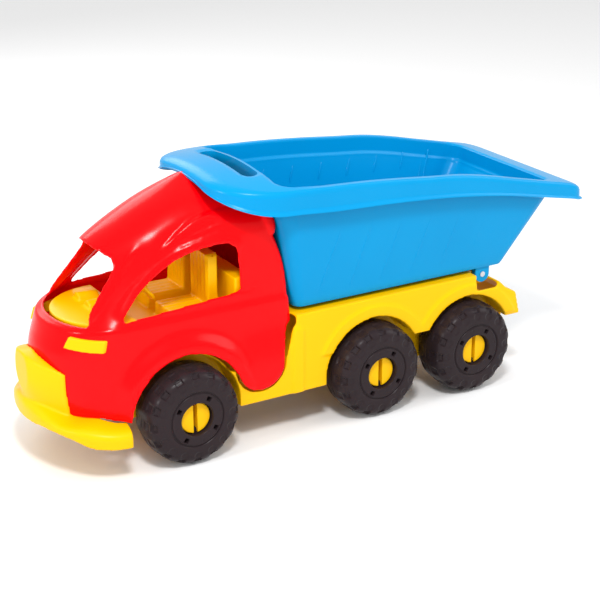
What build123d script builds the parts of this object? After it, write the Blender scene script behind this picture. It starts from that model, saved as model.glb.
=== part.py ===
from build123d import *
import math
import os

# A ride-on-the-floor toy dump truck: a moulded chassis on six snap-on wheels, a cab shell
# with a separate interior, and a tipping bed.  +X is forward, +Y is the truck's left, +Z is up.
# The origin is on the ground, under the middle of the whole truck.

# ---- driving dimensions, millimetres ----
overall_length = 620.0      # bumper to the pouring lip of the bed
overall_width = 195.0       # over the wheels, and over the bed rim
overall_height = 276.0      # ground to the crown of the bed's visor
wheel_d = 100.0
wheel_w = 46.0
wall = 2.5                  # wall of every moulded shell
front_overhang = 142.0      # bumper to front axle
rear_overhang = 143.0       # rear axle to pouring lip
wheel_space = 20.0          # between the two rear wheels' treads
arch_gap = 7.0              # wheel tread to chassis arch
axle_d = 25.0               # journal of the axle bar
axle_head_d = 32.0          # snap head that holds the wheel on
axle_slot = 4.5             # slot that lets the snap head close
hub_recess = 8.6            # wheel's outer face to the seat of the snap head
head_h = 3.2                # thickness of the snap head
spin_fit = 0.08             # radial clearance of a wheel or a lug on its shaft
body_gap = 0.3              # clearance between bodies that move past each other
hinge_d = 6.0               # bed hinge rod
hinge_back = 25.0           # hinge rod behind the rear axle
screw_d = 4.0               # cab screws
bed_floor_gap = 4.0         # deck to bed floor
steer_d = 34.0              # steering wheel rim
tread_pits = 18             # pits round one tread
hook_size = 4.0             # square hooks that join the halves of a wheel
hook_turn = 33.0            # degrees from the front to the first hook
ring_deep = 1.2             # depth of the ring groove in a wheel's side face

# ---- places that follow from them ----
half = overall_width / 2
x_front = overall_length / 2
x_rear = -x_front
wheel_r = wheel_d / 2
axle_z = wheel_r
front_axle_x = x_front - front_overhang
rear_axle_x = x_rear + rear_overhang
mid_axle_x = rear_axle_x + wheel_d + wheel_space
axles = {"front": front_axle_x, "middle": mid_axle_x, "rear": rear_axle_x}
wheel_in = half - wheel_w                   # half-width of the wheels' inner faces
frame_half = wheel_in - 2.5                 # half-width of the box frame between the wheels
skirt_half = half - 18.0                    # half-width of the chassis side skirts
deck_z = wheel_d + 28.0
arch_r = wheel_r + arch_gap
frame_low = axle_z - axle_d / 2 - 3.5       # underside of the box frame
skirt_low = axle_z - 7.3                    # underside of the skirt between the axles
bore_r = axle_d / 2 + spin_fit
cup_r = axle_head_d / 2 + 1.0               # recess round the snap head
hook_r = axle_head_d / 2 + 7.0              # radius of the hooks' middles
ring_r = axle_head_d / 2 + 12.0             # radius of the ring groove

cab_back = front_axle_x - 120.0             # rear edge of the cab at deck level
belt_z = deck_z + 19.0                      # foot of the windows
door_half = half - 30.0                     # half-width of the doors at the belt
roof_z = overall_height - 11.0              # crown of the cab roof
cab_low = axle_z + 6.0                      # lower edge of the cab's nose
nose_x = x_front - 13.0                     # tip of the nose at its fullest
fender_r = arch_r + 4.0                     # cab arch over the front wheel
lobe_r = 27.0                               # rounded foot of the cab side behind the wheel

bed_z = deck_z + bed_floor_gap              # underside of the bed floor
bed_front = cab_back - 5.0                  # foot of the bed's front wall
bed_half = half - 25.0                      # half-width of the bed floor
bed_back = rear_axle_x - 53.0               # rear corner of the bed floor
rim_z = overall_height - 13.4               # rim at its front corners
lip_z = rim_z - 47.6                        # pouring lip
rim_deep = 22.0                             # depth of the rim's skirt
hinge_x = rear_axle_x - hinge_back
hinge_z = deck_z - 4.0
lug_t = 6.0
lug_mid = bed_half - 6.0                    # half-width of the middle of a bed lug


def slab(outline, low, high):
    """Solid with a side view drawn in x and z, from y = low to y = high."""
    return Pos(0, high, 0) * extrude(Plane.XZ * outline, amount=high - low)


def rod(x, z, radius, low, high):
    """Round bar along Y."""
    return slab(Pos(x, z) * Circle(radius), low, high)


def tower(outline, low, high):
    """Solid with a plan drawn in x and y, from z = low to z = high."""
    return Pos(0, 0, low) * extrude(outline, amount=high - low)


def both_sides(solid):
    """The solid and its mirror image on the other side of the truck."""
    return solid + mirror(solid, about=Plane.XZ)


def block(x0, x1, y0, y1, z0, z1):
    """Box between two corners."""
    middle = Pos((x0 + x1) / 2, (y0 + y1) / 2, (z0 + z1) / 2)
    return middle * Box(x1 - x0, y1 - y0, z1 - z0)


# ---------------------------------------------------------------- wheels
def wheel_profile(inset):
    """Half section of the tyre and disc in radius and width, drawn inwards by inset."""
    r = wheel_r - inset
    face = wheel_w - inset
    edge = Line((0, wheel_w / 2), (r, wheel_w / 2))
    edge += Line((r, wheel_w / 2), (r, wheel_w - 11))
    edge += ThreePointArc((r, wheel_w - 11), (r - 2.6, wheel_w - 3.6 - 0.6 * inset), (r - 9, face))
    edge += Line((r - 9, face), (0, face))
    edge += Line((0, face), (0, wheel_w / 2))
    return make_face(edge)


def wheel_shell():
    """One hollow half of a wheel, from the seam at mid width to a side face, about +Y."""
    return revolve(wheel_profile(0), axis=Axis.Y) - revolve(wheel_profile(wall), axis=Axis.Y)


def tread_pit_cuts():
    """Pits round the shoulder of the tread."""
    pit = Pos(wheel_r - 0.5, wheel_w - 10.0, 0) * Rot(0, 0, 30) * Box(3.4, 8.0, 8.5)
    return [Rot(0, 360 * i / tread_pits, 0) * pit for i in range(tread_pits)]


def snap_places(size, length):
    """Four square bars round the hub, where the halves of a wheel hook together."""
    bar = Pos(hook_r, length / 2, 0) * Box(size, length, size)
    return [Rot(0, hook_turn + 90 * i, 0) * bar for i in range(4)]


def wheel_outer():
    """Outer half: side face with the hub recess, the tread's outer part and its pits."""
    seat = wheel_w - hub_recess
    shell = wheel_shell()
    cup = rod(0, 0, cup_r + wall, seat - wall, wheel_w)
    tube = rod(0, 0, bore_r + wall, wheel_w / 2, seat)
    shell = shell + cup + tube
    shell -= rod(0, 0, cup_r, seat, wheel_w + 1)
    shell -= rod(0, 0, bore_r, 0, wheel_w)
    groove = rod(0, 0, ring_r + 1, wheel_w - ring_deep, wheel_w + 1)
    shell -= groove - rod(0, 0, ring_r - 1, 0, 2 * wheel_w)
    shell -= tread_pit_cuts()
    shell -= snap_places(hook_size + 0.4, 2 * wheel_w)
    return shell


def wheel_inner():
    """Inner half: the mirror image, with the four hooks that reach through the outer face."""
    shell = wheel_shell() + rod(0, 0, bore_r + wall, wheel_w / 2, wheel_w - 0.5)
    shell = mirror(shell, about=Plane.XZ)
    shell = Pos(0, wheel_w, 0) * shell
    hooks = snap_places(hook_size, wheel_w - 2.0)
    return shell + hooks - rod(0, 0, bore_r, -1, wheel_w + 1)


def place_wheel(half_wheel, axle_x, side):
    """Move a wheel half to its axle; the right-hand wheels are turned half a turn about Z."""
    if side == "left":
        return Pos(axle_x, wheel_in, axle_z) * half_wheel
    return Pos(axle_x, -wheel_in, axle_z) * Rot(0, 0, 180) * half_wheel


# ---------------------------------------------------------------- axles and rods
def flats(x, low, high):
    """Bar with two flats, the part of an axle that can't turn in the frame."""
    bar = rod(x, axle_z, axle_d / 2, low, high)
    keep = block(x - axle_d, x + axle_d, low, high, axle_z - axle_d * 0.42, axle_z + axle_d * 0.42)
    return bar & keep


def axle(x):
    """Axle bar: flats in the frame, round journals, and split snap heads with upright slots."""
    end = half - hub_recess + head_h
    journal = frame_half
    seat = half - hub_recess + body_gap
    bar = flats(x, -journal, journal)
    bar += both_sides(rod(x, axle_z, axle_d / 2, journal, end))
    head = rod(x, axle_z, axle_head_d / 2, seat, end)
    head = chamfer(head.edges().group_by(Axis.Y)[-1], 0.8)
    bar += both_sides(head)
    deep = wheel_w * 0.6
    slot = block(x - axle_slot / 2, x + axle_slot / 2, end - deep, end + 1, 0, wheel_d)
    bar -= both_sides(slot)
    bar -= rod(x, axle_z, axle_d / 2 - 2 * wall, -end + wheel_w, end - wheel_w)
    return bar


def hinge_rod():
    """Steel rod that the bed tips on, held in the chassis ears."""
    reach = lug_mid + lug_t / 2 + 1.0
    return rod(hinge_x, hinge_z, hinge_d / 2, -reach, reach)


# ---------------------------------------------------------------- chassis
def chassis_side(inset):
    """Side view of the skirts and deck, without the wheel arches, drawn inwards by inset."""
    top = deck_z - inset
    tail = rear_axle_x - 71.0 + inset
    nose = nose_x - 30.0 - inset
    low = skirt_low - (20 if inset else 0)
    points = [
        (nose, low),
        (nose, top),
        (hinge_x + 13.0, top),
        (hinge_x + 1.0, top - 12.0),
        (hinge_x - 17.0, top - 12.5),
        (hinge_x - 27.0 + inset, top - 22.0),
        (hinge_x - 40.0 + inset, top - 29.0),
        (tail, deck_z - 54.0),
        (tail, low),
    ]
    return make_face(Polyline(*points, close=True))


def arch_tunnel(x, radius, inner):
    """Round-topped tunnel over one wheel, from the frame to beyond the side."""
    dome = rod(x, axle_z, radius, inner, half + 20)
    foot = block(x - radius, x + radius, inner, half + 20, -10, axle_z)
    return dome + foot


def skirt_trim():
    """What the skirts leave open: behind the rear wheel, and between the two rear wheels."""
    between = block(rear_axle_x, mid_axle_x, frame_half, half + 20, -30, deck_z - 48.0)
    behind = block(x_rear, rear_axle_x, frame_half, half + 20, -30, deck_z - 55.0)
    ahead = block(front_axle_x, x_front, frame_half, half + 20, -30, cab_low)
    return between + behind + ahead


def box_frame():
    """Box frame between the wheels, open below, which carries the axles."""
    tail = rear_axle_x - axle_d
    nose = front_axle_x + axle_d
    outer = block(tail, nose, -frame_half, frame_half, frame_low, deck_z - wall / 2)
    inner_half = frame_half - wall
    inner = block(tail + wall, nose - wall, -inner_half, inner_half, 0, deck_z - wall)
    return outer - inner


def lobe_centre():
    """Middle of the rounded foot of the cab side, which runs on from the cab's wheel arch."""
    reach = fender_r + lobe_r
    angle = math.radians(158)
    return (front_axle_x + reach * math.cos(angle), axle_z + reach * math.sin(angle))


def chassis():
    """Moulded chassis: deck, skirts with wheel arches, box frame, posts and hinge ears."""
    outer = slab(chassis_side(0), -skirt_half, skirt_half)
    inner = slab(chassis_side(wall), -skirt_half + wall, skirt_half - wall)
    for x in axles.values():
        outer -= both_sides(arch_tunnel(x, arch_r, frame_half))
        inner -= both_sides(arch_tunnel(x, arch_r + wall, frame_half - wall))
    body = outer - inner
    body -= both_sides(skirt_trim())
    body += box_frame()
    # room for the cab side, which laps over the skirt ahead of the post
    cx, cz = lobe_centre()
    lap_half = door_half
    lap = rod(cx, cz, lobe_r + 1.5, lap_half, skirt_half + 10)
    edge = Polyline((cab_back - 1.5, deck_z + 10), (cab_back - 1.5, deck_z - 9.5),
                    (cab_back + 2.0, deck_z - 13), (cx - lobe_r - 1.5, cz), (x_front, cz),
                    (x_front, deck_z + 10), close=True)
    lap += slab(make_face(edge), lap_half, skirt_half + 10)
    backing = block(cx - lobe_r - 4, front_axle_x - fender_r, lap_half - wall, lap_half,
                    skirt_low, deck_z - 1)
    ledge = block(cx - lobe_r - 4, front_axle_x - arch_r, lap_half - wall, skirt_half,
                  skirt_low, cz - lobe_r - 1.5)
    shelf_x = (cx - lobe_r - 4, cx - lobe_r - 1.5)
    upright = block(*shelf_x, lap_half - wall, skirt_half, skirt_low, cz)
    backing += ledge + upright
    for x in axles.values():
        backing -= arch_tunnel(x, arch_r, frame_half)
    body -= both_sides(lap)
    body += both_sides(backing)
    # the nose end is rounded to stand inside the cab
    ahead = block(front_axle_x, x_front, -half, half, 0, overall_height)
    body -= ahead - tower(nose_plan(0, front_axle_x + 30, nose_x - 30, door_half - 8), 0, deck_z)
    # upright post with a round top behind the cab side
    post_x = cab_back - 2.0
    post = block(post_x - 7.5, post_x + 4, skirt_half - 4, skirt_half + 1.5, skirt_low, deck_z - 20)
    post += rod(post_x - 1.75, deck_z - 20, 5.75, skirt_half - 4, skirt_half + 1.5)
    body += both_sides(post)
    # raised bands round the rear arches
    for x in (mid_axle_x, rear_axle_x):
        band = rod(x, axle_z, arch_r + 12, skirt_half - 1, skirt_half + 1.5)
        band -= rod(x, axle_z, arch_r, 0, half + 10)
        band -= block(x - 99, x + 99, 0, half + 10, -20, deck_z - 50)
        body += both_sides(band)
    # slots for the bed lugs, ears that hold the hinge rod
    slot = block(hinge_x - 14, hinge_x + 14, lug_mid - lug_t / 2 - 1, skirt_half + 10,
                 hinge_z - 14, deck_z + 20)
    body -= both_sides(slot)
    ear = rod(hinge_x, hinge_z, hinge_d / 2 + 3, lug_mid - lug_t / 2 - 6, lug_mid - lug_t / 2 - 1)
    ear += block(hinge_x - 6, hinge_x + 6, lug_mid - lug_t / 2 - 6, lug_mid - lug_t / 2 - 1,
                 hinge_z - 14, hinge_z)
    body += both_sides(ear)
    body -= rod(hinge_x, hinge_z, hinge_d / 2, -half, half)
    # seats for the axles and holes for the cab screws
    for x in axles.values():
        body -= flats(x, -half, half)
    for x, y in screw_places():
        body -= tower(Pos(x, y) * Circle(screw_d / 2), deck_z - 20, deck_z + 5)
    return body


def screw_places():
    """Four cab screws, two behind the seats and two in the nose."""
    back = cab_back + 18.0
    front = front_axle_x + arch_r + 16.0
    wide = frame_half - 12.0
    near = frame_half - 25.0
    return [(back, wide), (back, -wide), (front, near), (front, -near)]


def cab_screws():
    """Self-tapping screws from below into the cab posts."""
    group = None
    for x, y in screw_places():
        shank = tower(Pos(x, y) * Circle(screw_d / 2), deck_z - wall, deck_z + 14)
        head = tower(Pos(x, y) * Circle(screw_d), deck_z - wall - 2.6, deck_z - wall)
        recess = tower(Pos(x, y) * (Rectangle(4.4, 1) + Rectangle(1, 4.4)),
                       deck_z - wall - 3, deck_z - wall - 1.4)
        screw = shank + head - recess
        group = screw if group is None else group + screw
    return group


# ---------------------------------------------------------------- cab
def half_oval(bend, tip, width, square=1.0):
    """Half an oval bulging forward from bend to tip; square below 1 makes it fuller."""
    points = []
    for i in range(-6, 7):
        a = math.radians(15 * i)
        across = math.copysign(abs(math.sin(a)) ** square, a)
        points.append((bend + (tip - bend) * math.cos(a) ** square, width * across))
    return Spline(*points, tangents=[(1, 0), (-1, 0)])


def nose_plan(back, bend, tip, width):
    """Plan of the cab: straight sides from back to bend, then a rounded nose out to tip."""
    edge = Line((bend, -width), (back, -width))
    edge += Line((back, -width), (back, width))
    edge += Line((back, width), (bend, width))
    edge += half_oval(bend, tip, width)
    return make_face(edge)


def cab_levels():
    """Plans of the cab from the bottom up: height, back, bend, tip and half-width."""
    back = cab_back - 4.0
    axle_front = front_axle_x
    return [
        (cab_low - 40.0, back, axle_front + 46, nose_x - 6, door_half + 8),
        (cab_low, back, axle_front + 46, nose_x - 6, door_half + 8),
        (cab_low + 40.0, back, axle_front + 46, nose_x, door_half + 7),
        (belt_z - 14.0, back, axle_front + 46, nose_x - 7, door_half + 3),
        (belt_z, back, axle_front + 46, nose_x - 14, door_half + 1),
    ]


def glass_levels():
    """Plans of the cab above the belt: height, back, bend, tip and half-width."""
    rise = roof_z - belt_z
    back = cab_back
    fx = front_axle_x
    return [
        (belt_z, back - 2, fx + 46, nose_x - 18, door_half),
        (belt_z + 0.22 * rise, back, fx + 30, nose_x - 30, door_half),
        (belt_z + 0.46 * rise, back + 6, fx - 30, nose_x - 56, door_half),
        (belt_z + 0.68 * rise, back + 18, fx - 60, nose_x - 84, door_half - 1),
        (belt_z + 0.82 * rise, back + 28, fx - 70, nose_x - 109, door_half - 8),
        (belt_z + 0.93 * rise, back + 34, fx - 74, nose_x - 138, door_half - 22),
        (roof_z, back + 38, fx - 76, nose_x - 178, door_half - 45),
    ]


def cab_block(inset):
    """Solid outer form of the cab, drawn inwards by inset."""
    solid = None
    for levels in (cab_levels(), glass_levels()):
        plans = []
        for z, back, bend, tip, width in levels:
            lift = z - (inset if z > belt_z + 1 else 0)
            plan = nose_plan(back + inset, bend, tip - inset, width - inset)
            plans.append(Pos(0, 0, lift) * plan)
        part = loft(plans, ruled=True)
        solid = part if solid is None else solid + part
    return solid


def cab_side():
    """Side view that the cab is trimmed to: wheel arch, rounded foot and leaning rear edge."""
    cx, cz = lobe_centre()
    sill = Polyline(
        (x_front, cab_low), (x_front, overall_height + 20), (cab_back + 34, overall_height + 20),
        (cab_back + 30, deck_z + 115), (cab_back + 24, deck_z + 101), (cab_back + 7, deck_z + 57),
        (cab_back, deck_z - 8), (cab_back + 4, deck_z - 12), (cx - lobe_r, cz), (cx, cz),
        (front_axle_x, axle_z), (front_axle_x + fender_r, cab_low), close=True)
    side = make_face(sill) + Pos(cx, cz) * Circle(lobe_r)
    side -= Pos(front_axle_x, axle_z) * Circle(fender_r)
    under = Pos(front_axle_x, axle_z - 50) * Rectangle(2 * fender_r, 100)
    return side - under


def fender(inset):
    """Flared band round the front wheel arch."""
    wide = fender_r + 18 - inset
    out = skirt_half + 3 - inset
    band = rod(front_axle_x, axle_z, wide, door_half - 10, out)
    band = fillet(band.edges().group_by(Axis.Y)[-1], 9)
    band -= block(x_rear, x_front, 0, half, -60, cab_low - (0 if inset == 0 else 30))
    return band


def cab_posts():
    """Hollow posts that the screws bite into."""
    posts = None
    for x, y in screw_places():
        post = tower(Pos(x, y) * Circle(screw_d / 2 + 2.5), deck_z, deck_z + 16)
        post -= tower(Pos(x, y) * Circle(screw_d / 2), deck_z - 1, deck_z + 14)
        if x > front_axle_x:
            web = block(x, x_front, y - wall / 2, y + wall / 2, deck_z + 1, deck_z + 15)
        else:
            web = block(x - wall / 2, x + wall / 2, min(y, 0), max(y, 0), deck_z + 1, deck_z + 15)
            web = Pos(0, math.copysign(frame_half - 12.0, y), 0) * web
        web &= cab_block(wall / 2)
        web -= tower(Pos(x, y) * Circle(screw_d / 2 + 1), deck_z, deck_z + 20)
        posts = post + web if posts is None else posts + post + web
    return posts


def windscreen_cut():
    """Front opening, narrower at the top, with rounded corners."""
    low = belt_z + 3.0
    high = belt_z + 0.47 * (roof_z - belt_z)
    shape = make_face(Polyline((-46, low), (46, low), (36, high), (-36, high), close=True))
    shape = fillet(shape.vertices(), 5)
    opening = extrude(Plane.YZ * shape, amount=overall_length)
    return Pos(front_axle_x - 20, 0, 0) * opening


def side_window_cut():
    """Side opening: a level sill and one long arched top."""
    back = cab_back + 58.0
    tip = front_axle_x + 60.0
    low = belt_z + 6.0
    high = belt_z + 62.0
    arc = EllipticalCenterArc((back, low), tip - back, high - low, 0, arc_size=90)
    edge = arc + Line((back, high), (back, low)) + Line((back, low), (tip, low))
    shape = fillet(make_face(edge).vertices(), 4)
    return slab(shape, -half, half)


def cab_shell():
    """One-piece cab moulding, open below, with window openings and flared wheel arches."""
    outer = cab_block(0) + both_sides(fender(0))
    inner = cab_block(wall) + both_sides(fender(wall))
    inner &= block(cab_back + wall + 2, x_front, -half, half, -40, overall_height)
    shell = (outer - inner) & slab(cab_side(), -half, half)
    shell -= windscreen_cut()
    shell -= side_window_cut()
    # the rear wall stops at the deck
    shell -= block(0, cab_back + 10, -door_half, door_half, 0, deck_z)
    return shell + cab_posts() - headlight_window()


def headlight_window():
    """Openings in the nose corners for the headlights."""
    box = block(front_axle_x + 78, nose_x - 18, 30, half, belt_z - 21, belt_z - 9)
    return both_sides(box)


def headlight(side):
    """Wrap-round headlight block pressed into its opening in the nose corner."""
    lens = cab_block(-2.5) - cab_block(wall + 1.0)
    lens &= headlight_window()
    keep = block(0, x_front, 0, half, 0, overall_height)
    if side == "right":
        keep = mirror(keep, about=Plane.XZ)
    return lens & keep


def bumper_trim():
    """Side view of what is cut away below the bumper, whose ends droop in front of the wheels."""
    ends = front_axle_x + fender_r
    low = axle_z - 13.0
    line = Polyline((ends - 5, low), (ends + 14, low), (ends + 34, low + 8), (ends + 56, low + 12),
                    (x_front + 5, low + 12), (x_front + 5, 0), (ends - 5, 0), close=True)
    return slab(make_face(line), -half, half)


def bumper_form(inset):
    """Solid form of the bumper shelf, wider at its foot, drawn inwards by inset."""
    ends = front_axle_x + fender_r + 4.0
    low = axle_z - 13.0
    bend = ends + 5.0
    foot = nose_plan(ends - inset, bend, x_front - inset, half - 0.5 - inset)
    brow = nose_plan(ends - inset, bend, nose_x + 8 - inset, half - 11 - inset)
    plans = [Pos(0, 0, low) * foot, Pos(0, 0, low + 12) * foot, Pos(0, 0, cab_low - inset) * brow]
    return loft(plans, ruled=True)


def front_bumper():
    """Bumper shelf round the nose, with the shield-shaped grille plate standing on it."""
    shelf = bumper_form(0) - bumper_form(wall) - bumper_trim()
    opening = nose_plan(0, front_axle_x + 46, nose_x - 16, door_half - 6)
    shelf -= tower(opening, 0, belt_z)
    shelf -= arch_tunnel(front_axle_x, fender_r, 0)
    shelf -= mirror(arch_tunnel(front_axle_x, fender_r, 0), about=Plane.XZ)
    plate_top = belt_z - 26
    wide = 42.0
    outline = Polyline((-wide, cab_low - wall), (wide, cab_low - wall), (wide, plate_top - 22),
                       (8, plate_top), (-8, plate_top), (-wide, plate_top - 22), close=True)
    shield = extrude(Plane.YZ * make_face(outline), amount=overall_length)
    shield &= cab_block(-3.0) - cab_block(0)
    shield &= block(front_axle_x, x_front, -half, half, 0, belt_z)
    return shelf + shield


def cab_interior():
    """Interior moulding: floor, humped dashboard, two seats with backs, and a rear bench."""
    z0 = deck_z
    seat_z = deck_z + 16.0
    wide = door_half - 6.0
    floor = block(cab_back + 40, front_axle_x + 70, -wide, wide, z0, z0 + wall)
    dash_x = front_axle_x + 66.0
    dash = tower(nose_plan(dash_x - 26, front_axle_x + 46, nose_x - 25, wide - 4), z0, belt_z + 1)
    dash -= tower(nose_plan(dash_x - 24, front_axle_x + 46, nose_x - 28, wide - 7), z0 - 1, belt_z - 1.5)
    for y in (-26, 0, 26):
        dash += Pos(dash_x - 8, y, belt_z) * Rot(0, 90, 0) * Cylinder(8, 22)
    dash -= block(0, x_front, -half, half, 0, z0)
    seats = None
    for y in (-27, 27):
        cushion = block(front_axle_x - 42, front_axle_x, y - 19, y + 19, z0 + wall, seat_z)
        back = block(front_axle_x - 52, front_axle_x - 40, y - 19, y + 19, z0 + wall, seat_z + 52)
        seat = cushion + fillet(back.edges().filter_by(Axis.X), 5)
        seats = seat if seats is None else seats + seat
    bench = block(cab_back + 40, cab_back + 58, -wide, wide, z0 + wall, belt_z + 26)
    bench -= block(cab_back + 39, cab_back + 56, -wide + wall, wide - wall, z0, belt_z + 24)
    for y in (-27, 27):
        seats -= block(front_axle_x - 50, front_axle_x - 2, y - 17, y + 17, 0, seat_z - wall)
    column = steering_place() * Cylinder(3.0, 30, align=(Align.CENTER, Align.CENTER, Align.MAX))
    inside = floor + dash + seats + bench + column
    for x, y in screw_places():
        inside -= tower(Pos(x, y) * Circle(screw_d / 2 + 3.0), 0, deck_z + 17)
        if x > front_axle_x:
            inside -= block(x, x_front, y - wall, y + wall, 0, deck_z + 16)
    return inside


def steering_place():
    """Where the steering wheel turns: on a column that leans back from the dashboard."""
    return Pos(front_axle_x + 24, 27, belt_z + 20) * Rot(0, -52, 0)


def steering_wheel():
    """Steering wheel, loose on its column peg."""
    rim = Torus(steer_d / 2 - 2, 2)
    hub = Cylinder(5, 5)
    spokes = Box(steer_d - 4, 3, 2.4) + Box(3, steer_d - 4, 2.4)
    wheel = rim + spokes + hub
    wheel -= Cylinder(3.0 + spin_fit, 20)
    return steering_place() * Pos(0, 0, 2.8) * wheel


def steering_peg():
    """Peg on the column that the steering wheel turns on, with a small retaining head."""
    peg = Cylinder(3.0, 6.0, align=(Align.CENTER, Align.CENTER, Align.MIN))
    head = Pos(0, 0, 5.6) * Cylinder(4.0, 1.6, align=(Align.CENTER, Align.CENTER, Align.MIN))
    return steering_place() * (peg + head)


# ---------------------------------------------------------------- bed
def rim_line(drop, start, end):
    """The falling line of the rim, as one arc in x and z, lowered by drop."""
    sag = (rim_z - lip_z) * 0.25
    middle = ((start + end) / 2, rim_z - drop - sag)
    return ThreePointArc((start, rim_z - drop), middle, (end, lip_z - drop))


def rim_band(drop, inset, deep):
    """Side view of the band under the rim line."""
    front = bed_front + 40.0
    back = x_rear + inset
    top = rim_line(drop, front, back)
    low = rim_line(deep, front, back)
    edge = top + Line(top @ 0, low @ 0) + low + Line(low @ 1, top @ 1)
    return make_face(edge)


def bed_plan(inset):
    """Plan of the rim: straight sides, rounded tail corners, and a rounded visor in front."""
    bend = bed_front + 17.0
    tip = front_axle_x - 37.0 - inset
    width = half - inset
    back = x_rear + inset
    edge = Line((bend, -width), (back + 14, -width))
    edge += RadiusArc((back + 14, -width), (back, -width + 14), 14)
    edge += Line((back, -width + 14), (back, width - 14))
    edge += RadiusArc((back, width - 14), (back + 14, width), 14)
    edge += Line((back + 14, width), (bend, width))
    edge += half_oval(bend, tip, width, 0.8)
    return make_face(edge)


def tub(inset):
    """Tub of the bed below the rim, with sloping sides and tail, drawn inwards by inset."""
    low = bed_z + inset
    top = overall_height + 30
    lean = top - bed_z
    side = make_face(Polyline(
        (bed_front - inset, low),
        (bed_front + 0.22 * lean - inset, top),
        (bed_back - 0.525 * lean + inset, top),
        (bed_back + inset, low), close=True))
    spread = 0.13 * lean
    section = make_face(Polyline(
        (-bed_half + inset, low), (bed_half - inset, low),
        (bed_half + spread - inset, top), (-bed_half - spread + inset, top), close=True))
    long = slab(side, -half, half)
    cross = Pos(x_rear, 0, 0) * extrude(Plane.YZ * section, amount=overall_length)
    return long & cross


def visor(inset):
    """Arched visor over the cab roof, between a crowned top and a more arched lower edge."""
    high = overall_height - inset
    side_top = rim_z - inset
    side_low = rim_z - rim_deep
    mid_low = overall_height - 9.0 - (20 if inset else 0)
    edge = ThreePointArc((-half, side_top), (0, high), (half, side_top))
    edge += Line((half, side_top), (half, side_low - (20 if inset else 0)))
    edge += ThreePointArc((half, side_low - (20 if inset else 0)), (0, mid_low),
                          (-half, side_low - (20 if inset else 0)))
    edge += Line((-half, side_low - (20 if inset else 0)), (-half, side_top))
    section = make_face(edge)
    start = bed_front + 20
    return Pos(start, 0, 0) * extrude(Plane.YZ * section, amount=overall_length / 3)


def dump_bed():
    """Bed: floor, sloping walls, falling rim with its skirt, visor with a handle slot, lugs."""
    plan = tower(bed_plan(0), 0, overall_height + 50)
    inset_plan = tower(bed_plan(wall), 0, overall_height + 50)
    band = slab(rim_band(0, 0, rim_deep), -half, half) & plan
    inner_band = slab(rim_band(wall, wall, rim_deep + 20), -half, half) & inset_plan
    rim = band - inner_band
    hood = (visor(0) & plan) - (visor(wall) & inset_plan)
    below = slab(make_face(
        rim_line(wall / 2, bed_front + 40, x_rear) + Line(
            (x_rear, lip_z - wall / 2), (x_rear, 0)) + Line((x_rear, 0), (bed_front + 40, 0)) + Line(
            (bed_front + 40, 0), (bed_front + 40, rim_z - wall / 2))), -half, half)
    outer = tub(0) & below
    body = rim + outer + hood
    body -= tub(wall) & block(x_rear + 30, x_front, -half, half, 0, overall_height + 50)
    slot = SlotOverall(102, 18)
    slot_place = Pos(bed_front + 36, 0) * Rot(0, 0, 90)
    body -= tower(slot_place * slot, overall_height - 30, overall_height + 20)
    # runners that rest on the deck, and hinge lugs
    runner = block(hinge_x + 20, bed_front - 12, 36, 42, deck_z + body_gap, bed_z)
    body += both_sides(runner)
    lug = rod(hinge_x, hinge_z, 9.0, lug_mid - lug_t / 2, lug_mid + lug_t / 2)
    lug += block(hinge_x - 9, hinge_x + 9, lug_mid - lug_t / 2, lug_mid + lug_t / 2, hinge_z, bed_z + 1)
    lug -= rod(hinge_x, hinge_z, hinge_d / 2 + spin_fit, 0, half)
    body += both_sides(lug)
    return body


# ---------------------------------------------------------------- all the pieces
def pieces():
    """Every piece of the truck, by name, where it stands."""
    made = {
        "chassis": chassis(),
        "front_bumper": front_bumper(),
        "cab_shell": cab_shell(),
        "cab_interior": cab_interior(),
        "steering_peg": steering_peg(),
        "steering_wheel": steering_wheel(),
        "headlight_left": headlight("left"),
        "headlight_right": headlight("right"),
        "cab_screws": cab_screws(),
        "dump_bed": dump_bed(),
        "bed_hinge_rod": hinge_rod(),
    }
    outer = wheel_outer()
    inner = wheel_inner()
    for name, x in axles.items():
        made[name + "_axle"] = axle(x)
        for side in ("left", "right"):
            made["wheel_" + name + "_" + side + "_outer"] = place_wheel(outer, x, side)
            made["wheel_" + name + "_" + side + "_inner"] = place_wheel(inner, x, side)
    return made


if __name__ == "__main__":
    os.makedirs("parts", exist_ok=True)
    for name, piece in pieces().items():
        export_step(piece, "parts/" + name + ".step")
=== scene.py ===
import math

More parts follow.
